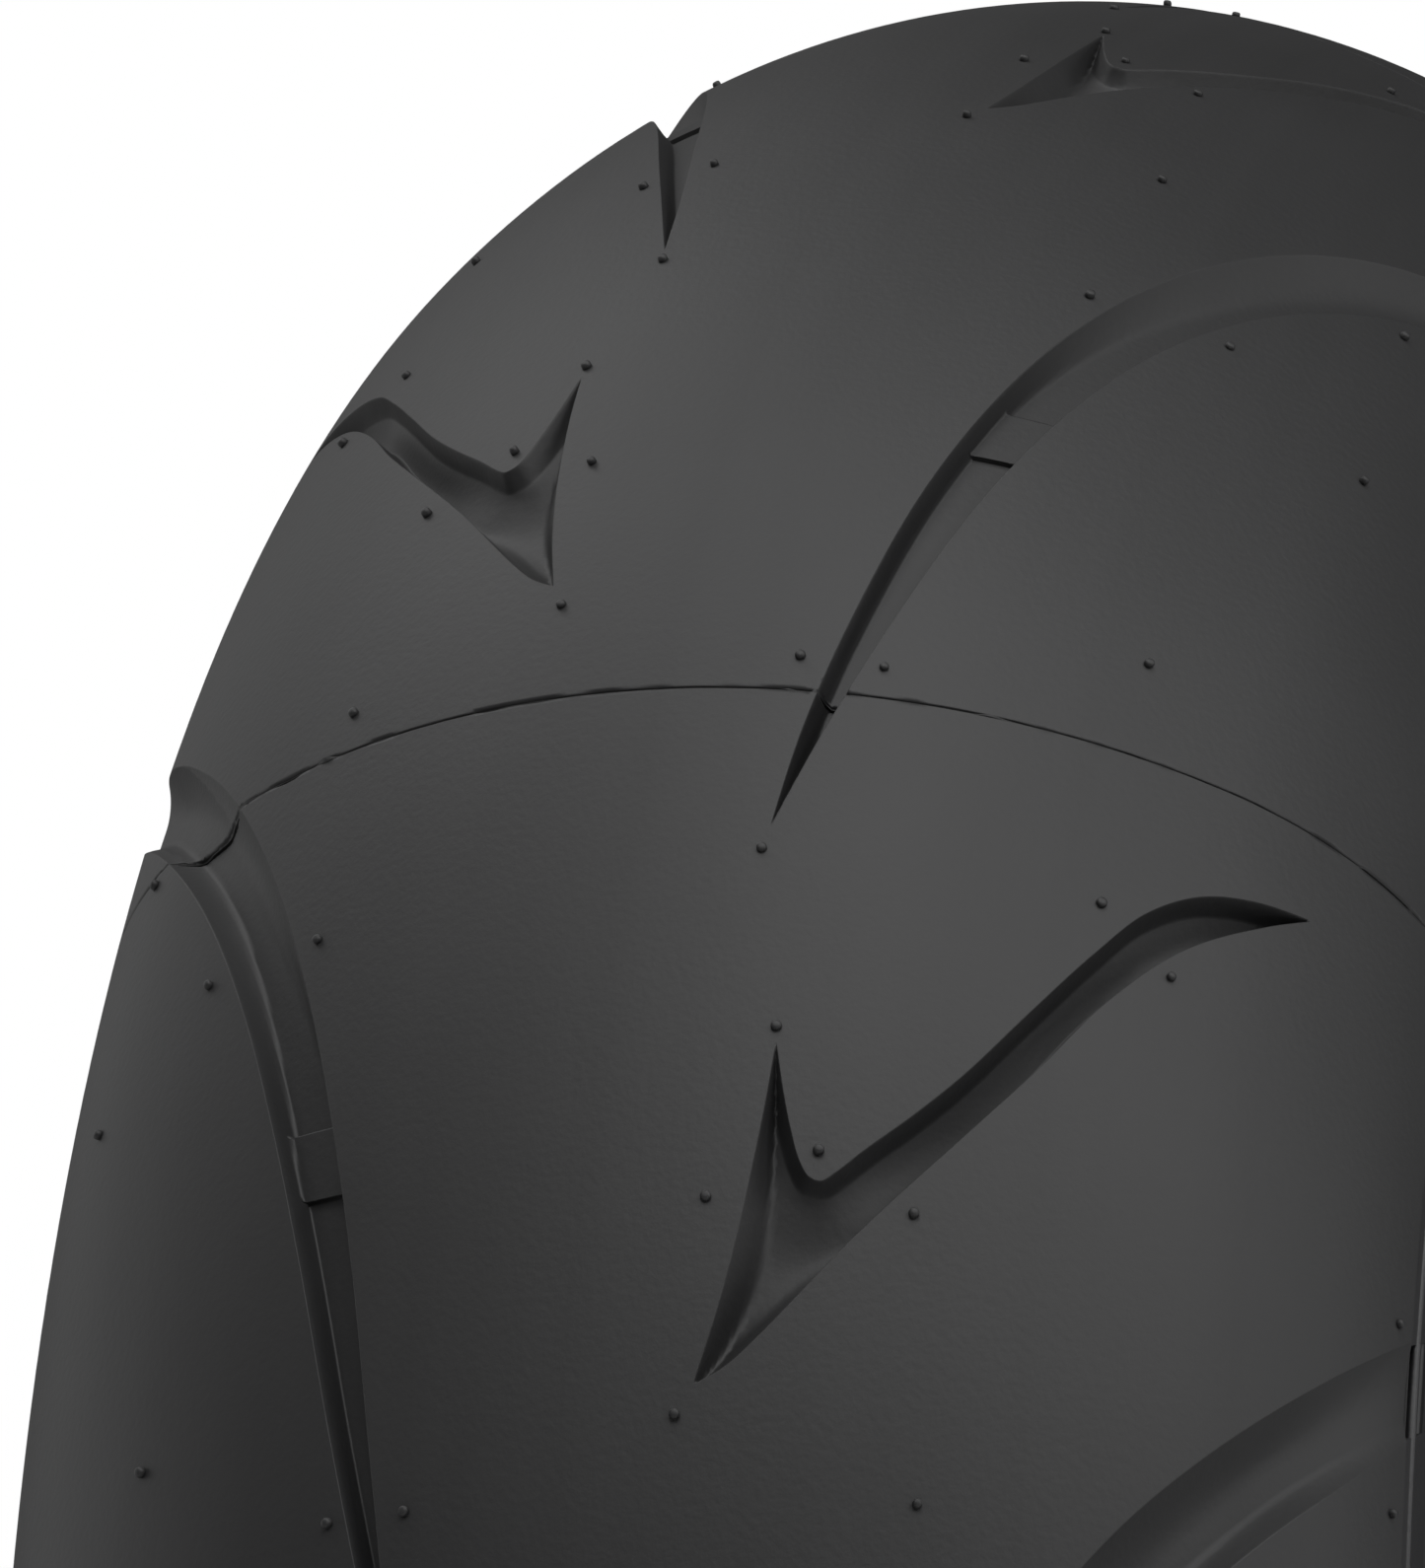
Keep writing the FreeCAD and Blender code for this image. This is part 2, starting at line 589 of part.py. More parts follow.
def spew_solids(bare_tread):
    """The rubber stubs left by the mould's vents, cut off at the tread's surface."""
    radius, foot_depth = dim("spew_radius"), dim("spew_foot")
    length = dim("spew_height") + foot_depth
    solids = []
    for side in SIDES.values():
        for place in SPEWS:
            foot, normal = on_tread(place, -foot_depth, side)
            stub = Part.makeCylinder(radius, length, foot, normal).cut(bare_tread)
            solids += every_pitch(stub, dim("pitch_count"))
    return solids


def flash_solids(bare_tread, cutters):
    """The thin ridge at each seam between the mould's sectors, open where a groove crosses it.

    It stops just short of the tread's edge.
    """
    width = math.degrees(dim("flash_width") / dim("tyre_radius"))
    raised = tread_solid(dim("flash_height")).cut(bare_tread)
    reach = dim("tyre_radius") + dim("crown_radius")
    half = tread_point(0, dim("edge_slope")).y - dim("flash_height")
    wedge = Part.makeCylinder(reach, 2 * half, FreeCAD.Vector(0, -half, 0), AXIS, width)
    turn = wedge.CenterOfMass
    wedge.rotate(FreeCAD.Vector(0, 0, 0), AXIS, math.degrees(math.atan2(turn.z, turn.x)) - dim("seam_angle"))
    ridge = raised.common(wedge)
    ridges = Part.makeCompound(every_pitch(ridge, dim("pitch_count")))
    return ridges.cut(Part.makeCompound(cutters)).Solids


def shape_feature(name, shape):
    """A plain feature that holds a shape worked out from the sheet's values."""
    feature = doc.addObject("Part::Feature", name)
    feature.Label = name
    feature.Shape = shape
    feature.Placement = FreeCAD.Placement()
    return feature


def cut_feature(name, base, tool):
    """A boolean cut that keeps its two operands in the document."""
    cut = doc.addObject("Part::Cut", name)
    cut.Label = name
    cut.Base = base
    cut.Tool = tool
    return cut


# ---------------------------------------------------------------- the document

edge = dim("edge_slope")
cutters = {name: groove_cutters(side) for name, side in SIDES.items()}
all_cutters = cutters["left"] + cutters["right"]
cutter_features = {
    name: shape_feature("groove_cutters_" + name, Part.makeCompound(solids))
    for name, solids in cutters.items()
}
every_cutter = shape_feature("groove_cutters", Part.makeCompound(all_cutters))

parts = []
tread_ring = turned_ring("tread_ring", crown_band(0, dim("cap_thickness"), edge))
parts.append(cut_feature("tread_cap", tread_ring, every_cutter))
parts.append(turned_ring("undertread", crown_band(UNDERTREAD, dim("undertread_thickness"), edge)))
parts.append(turned_ring("steel_belt", crown_band(BELT, dim("belt_thickness"), dim("belt_slope"))))
breaker = dim("breaker_thickness")
outer_slope, inner_slope = dim("breaker_outer_slope"), dim("breaker_inner_slope")
parts.append(turned_ring("breaker_ply_outer", crown_band(BREAKER_OUTER, breaker, outer_slope)))
parts.append(turned_ring("breaker_ply_inner", crown_band(BREAKER_INNER, breaker, inner_slope)))
ply, liner = dim("ply_thickness"), dim("liner_thickness")
parts.append(turned_ring("carcass_ply_outer", wall_layer(0, ply, BEAD_EXIT, SIDE_TEXT[0], SIDE_TEXT[1])))
parts.append(turned_ring("carcass_ply_inner", wall_layer(ply, ply, BEAD_EXIT, SIDE_TEXT[1], SIDE_TEXT[2])))
parts.append(turned_ring("inner_liner", wall_layer(PLIES, liner, LINER_END, SIDE_TEXT[2], SIDE_TEXT[3])))
for name, side in SIDES.items():
    parts.append(turned_ring("belt_edge_strip_" + name, edge_strip(side)))
    parts.append(turned_ring("bead_core_" + name, bead_core(side)))
    parts.append(turned_ring("bead_wrap_" + name, bead_wrap(side), bead_core(side)))
    parts.append(turned_ring("bead_filler_" + name, bead_filler(side)))
    parts.append(turned_ring("chafer_" + name, chafer(side)))
    parts.append(turned_ring("rim_cushion_" + name, rim_cushion(side)))
    wall = turned_ring("sidewall_ring_" + name, sidewall(side))
    parts.append(cut_feature("sidewall_" + name, wall, cutter_features[name]))
bare_tread = tread_solid(0)
parts.append(shape_feature("vent_spews", Part.makeCompound(spew_solids(bare_tread))))
parts.append(shape_feature("mould_flash", Part.makeCompound(flash_solids(bare_tread, all_cutters))))
doc.recompute()

for item in doc.Objects:
    if {"Invalid", "Error"} & set(item.State):
        raise RuntimeError(f"{item.Label} is in state {item.State}")
for part in parts:
    if part.Shape.isNull() or not part.Shape.isValid():
        raise RuntimeError(f"{part.Label} has no valid shape")

os.makedirs("parts", exist_ok=True)
for part in parts:
    part.Shape.exportStep(os.path.join("parts", part.Label + ".step"))
    print(f"{part.Label}: {len(part.Shape.Solids)} solids, {part.Shape.Volume / 1000:.1f} cm3")
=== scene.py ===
import math
import random

import bpy
import numpy as np
from mathutils import Matrix, Vector
from mathutils.geometry import delaunay_2d_cdt


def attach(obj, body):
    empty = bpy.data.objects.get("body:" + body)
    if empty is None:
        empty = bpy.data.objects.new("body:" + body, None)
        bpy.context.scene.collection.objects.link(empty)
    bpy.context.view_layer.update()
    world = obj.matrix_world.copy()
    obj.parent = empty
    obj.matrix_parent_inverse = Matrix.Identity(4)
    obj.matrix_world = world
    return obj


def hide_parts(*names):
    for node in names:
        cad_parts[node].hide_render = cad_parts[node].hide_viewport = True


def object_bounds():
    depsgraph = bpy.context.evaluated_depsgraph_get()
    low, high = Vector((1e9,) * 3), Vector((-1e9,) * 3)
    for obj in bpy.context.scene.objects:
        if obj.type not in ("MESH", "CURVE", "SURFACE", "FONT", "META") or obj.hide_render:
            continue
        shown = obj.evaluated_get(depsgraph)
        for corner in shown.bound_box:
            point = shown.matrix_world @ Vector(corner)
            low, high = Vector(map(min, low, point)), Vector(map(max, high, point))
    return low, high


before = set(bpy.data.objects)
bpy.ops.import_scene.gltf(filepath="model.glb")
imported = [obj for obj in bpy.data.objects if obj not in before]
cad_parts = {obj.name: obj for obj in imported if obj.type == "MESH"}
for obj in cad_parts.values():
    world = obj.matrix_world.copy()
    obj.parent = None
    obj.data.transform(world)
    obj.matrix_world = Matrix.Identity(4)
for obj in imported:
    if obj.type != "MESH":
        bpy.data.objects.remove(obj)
CAD_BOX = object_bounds()
MM = 0.001

# ------------------------------------------------------------------ the tyre's section, in millimetres
#
# A place on the tread is (along, across): millimetres round the crown from the pattern's start towards +Z, and
# millimetres over the tread from the crown's centre line. The section is two tangent arcs, a crown and a
# shoulder. There are eight equal pitches, and the mould's eight sectors meet at seams of the same spacing.

TYRE_RADIUS = 311.0
CROWN_RADIUS = 111.0
SHOULDER_RADIUS = 66.0
CROWN_SLOPE = math.radians(40)
EDGE_SLOPE = math.radians(75)
CAP_THICKNESS = 5.8
UNDER_GAP = 0.02
PITCHES = 8
PITCH = 2 * math.pi * TYRE_RADIUS / PITCHES
PATTERN_START = math.radians(13.46)
SEAM = math.radians(31.93)
SEAM_ALONG = (SEAM - PATTERN_START) * TYRE_RADIUS
CROWN_REACH = CROWN_RADIUS * CROWN_SLOPE
HALF_TREAD = CROWN_REACH + SHOULDER_RADIUS * (EDGE_SLOPE - CROWN_SLOPE)
CROWN_CENTRE = np.array([0.0, TYRE_RADIUS - CROWN_RADIUS])
SHOULDER_CENTRE = CROWN_CENTRE + (CROWN_RADIUS - SHOULDER_RADIUS) * np.array(
    [math.sin(CROWN_SLOPE), math.cos(CROWN_SLOPE)]
)

# ------------------------------------------------------------------ the tread pattern, in millimetres
#
# Edges of the two grooves in one pitch of the +Y side, as (along, across). The -Y side mirrors them, half a
# pitch later. Each list is a smooth curve through its points.

LONG_CROWN_EDGE = [
    (77.5, 19.0), (94.5, 21.0), (117.5, 25.1), (139.0, 29.6), (158.7, 35.0), (177.0, 41.3), (195.8, 49.5),
    (213.5, 59.4), (229.0, 70.6), (242.5, 83.3), (257.5, 99.9), (271.4, 116.8), (277.0, 124.0),
]
LONG_OUTER_EDGE = [
    (77.5, 19.0), (94.6, 23.9), (117.5, 30.7), (140.1, 37.6), (161.4, 45.3), (181.5, 54.2), (200.9, 65.4),
    (217.0, 77.6), (231.0, 90.8), (245.0, 106.3), (254.8, 117.2), (261.0, 124.0),
]
CHECK_LEFT_EDGE = [(-1.0, 17.4), (8.7, 19.6), (18.6, 21.2), (28.0, 22.3), (36.8, 23.1), (45.6, 23.6)]
CHECK_NOTCH_EDGE = [
    (45.6, 23.6), (39.0, 25.1), (33.5, 26.6), (29.4, 28.0), (27.2, 29.4), (26.7, 30.9), (27.9, 32.5),
    (31.4, 35.8), (37.0, 41.3), (44.0, 47.2), (55.0, 54.6), (66.3, 61.9), (75.0, 68.0), (80.6, 74.8),
    (83.4, 82.0), (85.2, 91.1),
]
CHECK_OUTER_EDGE = [
    (85.2, 91.1), (80.2, 84.4), (71.0, 73.4), (59.5, 64.3), (46.2, 55.9), (34.4, 47.3), (20.1, 36.0),
    (6.0, 25.2), (1.4, 21.0), (-1.0, 17.4),
]
WEAR_BAR = (151.5, 162.0)
BAR_DEPTH = 3.2
GROOVE_DEPTH = 4.0
CHECK_DEPTH = 5.5

# Vents of the mould in one pitch, as (along, across).
VENTS = [
    (-4.9, 15.4), (23.8, 17.0), (47.9, 23.4), (74.2, 18.4), (106.0, 18.8), (105.4, 29.7), (30.9, 30.3),
    (23.6, 42.7), (74.4, 61.9), (66.1, 72.2), (29.1, 114.3), (117.0, 63.0), (190.0, 42.9), (190.0, 63.0),
    (176.0, 86.2), (229.5, 45.5), (220.0, 85.0), (242.6, 114.8),
]


def section(across, height):
    """Width, radius and slope of the tread's section at these places, raised by a height."""
    side = np.sign(across)
    reach = np.abs(across)
    crown = reach <= CROWN_REACH
    slope = np.where(crown, reach / CROWN_RADIUS, CROWN_SLOPE + (reach - CROWN_REACH) / SHOULDER_RADIUS)
    radius = np.where(crown, CROWN_RADIUS, SHOULDER_RADIUS) + height
    centre_y = np.where(crown, CROWN_CENTRE[0], SHOULDER_CENTRE[0])
    centre_r = np.where(crown, CROWN_CENTRE[1], SHOULDER_CENTRE[1])
    return side * (centre_y + radius * np.sin(slope)), centre_r + radius * np.cos(slope), side * slope


def on_tread(along, across, height):
    """Points, in metres, at these places of the tread, raised by a height in millimetres."""
    width, radius, _ = section(across, height)
    turn = PATTERN_START + along / TYRE_RADIUS
    return np.stack([radius * np.cos(turn), width, radius * np.sin(turn)], 1) * MM


def tread_normal(along, across):
    """The tread's outward normals at these places."""
    _, _, slope = section(across, 0.0)
    turn = PATTERN_START + along / TYRE_RADIUS
    return np.stack([np.cos(slope) * np.cos(turn), np.sin(slope), np.cos(slope) * np.sin(turn)], 1)


# ------------------------------------------------------------------ plane curves

CURVE_STEP = 0.7
CHUNK = 4000


def smooth_curve(points, step):
    """A Catmull-Rom curve through the points, as places about a step apart."""
    pts = np.array(points, float)
    pts = np.vstack([2 * pts[0] - pts[1], pts, 2 * pts[-1] - pts[-2]])
    out = []
    for a, b, c, d in zip(pts, pts[1:], pts[2:], pts[3:]):
        knots = np.cumsum([0.0] + [math.sqrt(np.linalg.norm(q - p)) for p, q in ((a, b), (b, c), (c, d))])
        count = max(1, round(np.linalg.norm(c - b) / step))
        t = knots[1] + (knots[2] - knots[1]) * np.arange(count)[:, None] / count
        ab = ((knots[1] - t) * a + (t - knots[0]) * b) / (knots[1] - knots[0])
        bc = ((knots[2] - t) * b + (t - knots[1]) * c) / (knots[2] - knots[1])
        cd = ((knots[3] - t) * c + (t - knots[2]) * d) / (knots[3] - knots[2])
        abc = ((knots[2] - t) * ab + (t - knots[0]) * bc) / (knots[2] - knots[0])
        bcd = ((knots[3] - t) * bc + (t - knots[1]) * cd) / (knots[3] - knots[1])
        out.append(((knots[2] - t) * abc + (t - knots[1]) * bcd) / (knots[2] - knots[1]))
    return np.vstack(out + [pts[-2][None]])


def distance_to(curve, places):
    """Distance of each place from a polyline."""
    start, step = curve[:-1], np.diff(curve, axis=0)
    length2 = (step ** 2).sum(1)
    best = np.full(len(places), np.inf)
    for i in range(0, len(places), CHUNK):
        gap = places[i:i + CHUNK, None] - start[None]
        share = np.clip((gap * step).sum(2) / length2, 0, 1)
        best[i:i + CHUNK] = np.sqrt((((gap - share[..., None] * step) ** 2).sum(2)).min(1))
    return best


def inside(loop, places):
    """Whether each place is inside a closed polyline."""
    x, y = places[:, 0], places[:, 1]
    result = np.zeros(len(places), bool)
    for (ax, ay), (bx, by) in zip(loop, np.roll(loop, -1, 0)):
        if ay != by:
            result ^= ((ay > y) != (by > y)) & (x < (bx - ax) * (y - ay) / (by - ay) + ax)
    return result


def ease(value):
    """Smooth step from 0 to 1."""
    t = np.clip(value, 0, 1)
    return t * t * (3 - 2 * t)


def soft_min(values, blend):
    """The smallest of several arrays, rounded off over about this share of it."""
    lowest = np.minimum.reduce(values)
    reach = blend * np.maximum(lowest, 0) + 0.01
    return np.maximum(lowest - reach * np.log(sum(np.exp(-(v - lowest) / reach) for v in values)), 0)


# ------------------------------------------------------------------ depth of the grooves

LONG_CROWN = smooth_curve(LONG_CROWN_EDGE, CURVE_STEP)
LONG_OUTER = smooth_curve(LONG_OUTER_EDGE, CURVE_STEP)
LONG_LOOP = np.vstack([LONG_CROWN, LONG_OUTER[:0:-1]])
CHECK_LEFT = smooth_curve(CHECK_LEFT_EDGE, CURVE_STEP)
CHECK_NOTCH = smooth_curve(CHECK_NOTCH_EDGE, CURVE_STEP)
CHECK_OUTER = smooth_curve(CHECK_OUTER_EDGE, CURVE_STEP)
CHECK_LOOP = np.vstack([CHECK_LEFT, CHECK_NOTCH[1:], CHECK_OUTER[1:-1]])


def long_depth(places):
    """Depth of the long groove: steep walls by the crown, a rounded trough over the shoulder, and the wear bar."""
    crown, outer = distance_to(LONG_CROWN, places), distance_to(LONG_OUTER, places)
    width = np.maximum(crown + outer, 1e-6)
    along, across = places[:, 0], places[:, 1]
    trough = ease((along - 150) / 65)
    crown_run = np.minimum((1 - trough) * 1.5 + trough * 0.56 * width, 0.56 * width)
    outer_run = np.minimum((1 - trough) * 0.8 + trough * 0.22 * width, 0.44 * width)
    crown_wall = 1 - (1 - np.clip(crown / crown_run, 0, 1)) ** (1.6 + 0.2 * trough)
    outer_wall = 1 - (1 - np.clip(outer / outer_run, 0, 1)) ** (1.8 - 0.3 * trough)
    full = GROOVE_DEPTH * (1 - 0.85 * ease((across - 92) / 27))
    depth = soft_min([full, 1.5 * width], 0.1) * soft_min([crown_wall, outer_wall], 0.04)
    bar = (along > WEAR_BAR[0]) & (along < WEAR_BAR[1])
    return np.where(bar, np.minimum(depth, BAR_DEPTH), depth)


def check_depth(places):
    """Depth of the check-shaped groove: a sloping left side, and a floor that falls from the notch."""
    left, notch, outer = (distance_to(curve, places) for curve in (CHECK_LEFT, CHECK_NOTCH, CHECK_OUTER))
    along = places[:, 0]
    body = ease((along - 3) / 24)
    narrow = ease((along - 22) / 16)
    wide = ease((along - 4) / 14) * (1 - narrow)
    left_wall = CHECK_DEPTH * (1 - (1 - np.clip(left / (2.4 + 1.9 * wide), 0, 1)) ** 1.15)
    notch_wall = 2.1 * (1 - (1 - np.clip(notch / 1.4, 0, 1)) ** 1.4)
    notch_wall += (0.17 + 0.24 * narrow) * notch + 1.1 * (1 - np.exp(-notch / 3.0))
    side = 1.2 + (CHECK_DEPTH - 1.2) * body
    outer_wall = side * (1 - (1 - np.clip(outer / 0.7, 0, 1)) ** 2) + 1.3 * (1 - body) * np.minimum(outer, 7)
    deepest = np.full(len(places), CHECK_DEPTH)
    return soft_min([left_wall, notch_wall, outer_wall, deepest], 0.06 + 0.1 * (1 - body))


def tread_depth(along, across):
    """Depth of the tread's surface under its plain shape at these places, either side."""
    side = np.sign(across)
    depth = np.zeros(len(along))
    start = np.where(side < 0, PITCH / 2, 0.0)
    local = (along - start) % PITCH
    for shift in (-PITCH, 0.0, PITCH):
        places = np.stack([local + shift, np.abs(across)], 1)
        for loop, depth_of in ((LONG_LOOP, long_depth), (CHECK_LOOP, check_depth)):
            low, high = loop.min(0), loop.max(0)
            near = np.all((places >= low) & (places <= high), 1)
            if near.any():
                found = near.nonzero()[0]
                found = found[inside(loop, places[found])]
                if len(found):
                    depth[found] = np.maximum(depth[found], depth_of(places[found]))
    return depth


# ------------------------------------------------------------------ one mould sector of the tread

def offset_rows(curve, inward, distances, loop, wanted_inside):
    """Rows of places beside an edge, at these distances, kept where no other edge is nearer."""
    tangent = np.gradient(curve, axis=0)
    normal = np.stack([-tangent[:, 1], tangent[:, 0]], 1) / np.linalg.norm(tangent, axis=1)[:, None]
    rows = []
    for distance in distances:
        row = curve + inward * distance * normal
        near = distance_to(np.vstack([loop, loop[:1]]), row)
        keep = (near > 0.9 * distance) & (inside(loop, row) == wanted_inside)
        rows.append(row[keep])
    return rows


# Distances of the rows of places on the two sides of a groove's edge, half the distance between the two
# surface points that a normal is worked out from, the size of the cells that near places are found with, and
# how far places beside an edge stay from a seam and from the tread's edge.
INNER_ROWS = (0.12, 0.3, 0.55, 0.85, 1.2, 1.6, 2.1, 2.7, 3.4, 4.2, 5.1, 6.1, 7.2)
OUTER_ROWS = (0.13, 0.5, 1.3)
NORMAL_STEP = 0.06
CELL = 0.5
MARGIN = 0.1


def groove_places():
    """Edge loops of one pitch, and rows of places beside them, in the +Y side's terms."""
    loops = [LONG_LOOP, CHECK_LOOP]
    rows = []
    for loop in loops:
        closed = np.vstack([loop, loop[:1]])
        for direction in (1, -1):
            rows += offset_rows(closed, direction, INNER_ROWS, loop, True)
            rows += offset_rows(closed, direction, OUTER_ROWS, loop, False)
    lines = []
    across = np.arange(28.0, 50.0, 0.4)
    for edge in WEAR_BAR:
        for shift in (-0.2, -0.05, 0.05, 0.2):
            line = np.stack([np.full(len(across), edge + shift), across], 1)
            lines.append(line[inside(LONG_LOOP, line) & (distance_to(LONG_LOOP, line) > 0.25)])
    return loops, rows, lines


def spaced(groups):
    """Places from all groups, earlier groups first, without those too close to one already taken."""
    taken, cells = [], {}
    for places, gap in groups:
        reach = int(math.ceil(gap / CELL))
        for place in places:
            column, row = int(place[0] // CELL), int(place[1] // CELL)
            others = (
                other
                for i in range(column - reach, column + reach + 1)
                for j in range(row - reach, row + reach + 1)
                for other in cells.get((i, j), ())
            )
            if all((x - place[0]) ** 2 + (y - place[1]) ** 2 >= gap * gap for x, y in others):
                cells.setdefault((column, row), []).append(place)
                taken.append(place)
    return np.array(taken)


def clipped(polyline, low, high):
    """Stretches of a polyline between two values of along, cut exactly at both."""
    pieces, current = [], []
    for a, b in zip(polyline[:-1], polyline[1:]):
        cuts = [0.0, 1.0]
        for limit in (low, high):
            if (a[0] - limit) * (b[0] - limit) < 0:
                cuts.append((limit - a[0]) / (b[0] - a[0]))
        cuts.sort()
        for t, s in zip(cuts[:-1], cuts[1:]):
            middle = a[0] + (t + s) / 2 * (b[0] - a[0])
            p, q = a + t * (b - a), a + s * (b - a)
            if low < middle < high:
                if not current:
                    current = [p]
                current.append(q)
            elif current:
                pieces.append(np.array(current))
                current = []
    if current:
        pieces.append(np.array(current))
    return pieces


def sector_places():
    """All places of one sector, between two seams, and the groove edges that its triangles follow."""
    low, high = SEAM_ALONG, SEAM_ALONG + PITCH
    loops, rows, lines = groove_places()
    edges, beside = [], []
    for side in (1, -1):
        start = 0.0 if side > 0 else PITCH / 2
        for shift in (-PITCH, 0.0, PITCH):
            for loop in loops:
                moved = np.vstack([loop, loop[:1]]) + [start + shift, 0]
                for piece in clipped(moved, low, high):
                    for stretch in clipped(piece[:, ::-1], -1.0, HALF_TREAD):
                        edges.append(stretch[:, ::-1] * [1, side])
            for line in lines:
                moved = line + [start + shift, 0]
                if low < moved[0, 0] < high:
                    edges.append(moved * [1, side])
            for row in rows:
                moved = row + [start + shift, 0]
                keep = (moved[:, 0] > low + MARGIN) & (moved[:, 0] < high - MARGIN)
                keep &= moved[:, 1] < HALF_TREAD - MARGIN
                beside.append(moved[keep] * [1, side])
    ends = [p for edge in edges for p in (edge[0], edge[-1])]
    at_seam = [p for p in ends if min(abs(p[0] - low), abs(p[0] - high)) < 1e-6]
    crossings = np.array(sorted({round(float(p[1]), 4) for p in at_seam}))
    spread = [s for s in np.linspace(-HALF_TREAD, HALF_TREAD, 281) if np.abs(crossings - s).min() > 0.3]
    seam = np.array(sorted(list(crossings) + spread))
    columns = []
    for inset in (0.0, 0.12, 0.3, 0.8, 2.0):
        for limit, direction in ((low, 1), (high, -1)):
            columns.append(np.stack([np.full(len(seam), limit + direction * inset), seam], 1))
    run = np.linspace(low, high, 176)[1:-1]
    rims = []
    for side in (1, -1):
        mine = [p[0] for p in ends if abs(p[1] - side * HALF_TREAD) < 1e-6]
        along = sorted([a for a in run if not mine or min(abs(a - m) for m in mine) > 0.4] + mine)
        rims.append(np.array([(a, side * HALF_TREAD) for a in along]))
    grid = []
    for i, along in enumerate(np.arange(low + 3, high - 2, 3.2)):
        shift = 0.0 if i % 2 else 1.8
        grid += [(along, across) for across in np.arange(-HALF_TREAD + 1 + shift, HALF_TREAD - 1, 3.6)]
    groups = [
        (np.vstack(columns[:2]), 0.0), (np.vstack(rims), 0.02), (np.vstack(edges), 0.02),
        (np.vstack(columns[2:]), 0.1), (np.vstack(beside), 0.11), (np.array(grid), 2.3),
    ]
    return spaced(groups), edges


def triangulate(places, edges):
    """Delaunay triangles of the places, with the edges' segments among their sides."""
    index = {(round(x, 3), round(y, 3)): i for i, (x, y) in enumerate(places)}
    links = []
    for edge in edges:
        found = [index.get((round(x, 3), round(y, 3))) for x, y in edge]
        found = [i for i in found if i is not None]
        links += [(a, b) for a, b in zip(found, found[1:]) if a != b]
    vertices, _, faces, _, _, _ = delaunay_2d_cdt(
        [Vector(place) for place in places.tolist()], links, [], 0, 1e-5
    )
    return np.array([tuple(v) for v in vertices]), [tuple(face) for face in faces]


# Length and phase of each wave in the uneven line of a seam.
RIPPLES = ((1.3, 0.4), (2.9, 2.0), (6.1, 4.1), (17.0, 1.2))


def ripple(across):
    """An uneven pattern between 0 and 1 along a seam."""
    waves = sum(np.sin(across / length + phase) for length, phase in RIPPLES)
    return np.clip(0.5 + 0.28 * waves, 0, 1)


def seam_dip(along, across):
    """Depth of the fine, uneven line where two mould sectors meet."""
    before = np.abs(along - SEAM_ALONG)
    after = np.abs(along - SEAM_ALONG - PITCH)
    width = 0.2 + 0.3 * ripple(across) * (0.35 + 0.65 * ease((10 - across) / 60))
    return (0.45 + 0.5 * ripple(across + 40)) * (1 - ease(np.minimum(before, after) / width))


def seam_step(along):
    """How much shallower the grooves are at the start of a sector than at the end of the one before."""
    return 0.7 * (1 - ease((along - SEAM_ALONG) / 30))


def surface(along, across):
    """Points of the finished tread surface, in metres."""
    depth = tread_depth(along, across)
    depth = np.maximum(depth - np.minimum(seam_step(along), 0.3 * depth), 0) + seam_dip(along, across)
    return on_tread(along, across, -depth)


def new_object(name, vertices, faces):
    """A new smooth-shaded object in the scene, from vertices and faces."""
    mesh = bpy.data.meshes.new(name)
    mesh.from_pydata([tuple(v) for v in vertices], [], faces)
    mesh.update()
    mesh.polygons.foreach_set("use_smooth", [True] * len(mesh.polygons))
    obj = bpy.data.objects.new(name, mesh)
    bpy.context.scene.collection.objects.link(obj)
    return obj


def sector_mesh():
    """Vertices, normals and faces of one sector's outer surface, and each vertex's place on the tread."""
    places, faces = triangulate(*sector_places())
    along, across = places[:, 0], places[:, 1]
    right = np.clip(across + NORMAL_STEP, -HALF_TREAD, HALF_TREAD)
    left = np.clip(across - NORMAL_STEP, -HALF_TREAD, HALF_TREAD)
    run = surface(along + NORMAL_STEP, across) - surface(along - NORMAL_STEP, across)
    normals = np.cross(run, surface(along, right) - surface(along, left))
    normals /= np.linalg.norm(normals, axis=1)[:, None]
    normals *= np.sign((normals * tread_normal(along, across)).sum(1))[:, None]
    return surface(along, across), normals, faces, places


def edge_loop(faces):
    """The sides that belong to one triangle only, each in its triangle's direction."""
    count = {}
    for face in faces:
        for a, b in zip(face, face[1:] + face[:1]):
            count[(a, b)] = count.get((a, b), 0) + 1
    return [(a, b) for a, b in count if (b, a) not in count]


def facing(points, faces, outward):
    """The faces, each turned so that its normal points the same way as the surface's."""
    out = []
    for face in faces:
        a, b, c = (points[i] for i in face[:3])
        out.append(face if np.dot(np.cross(b - a, c - a), outward[face[0]]) > 0 else face[::-1])
    return out


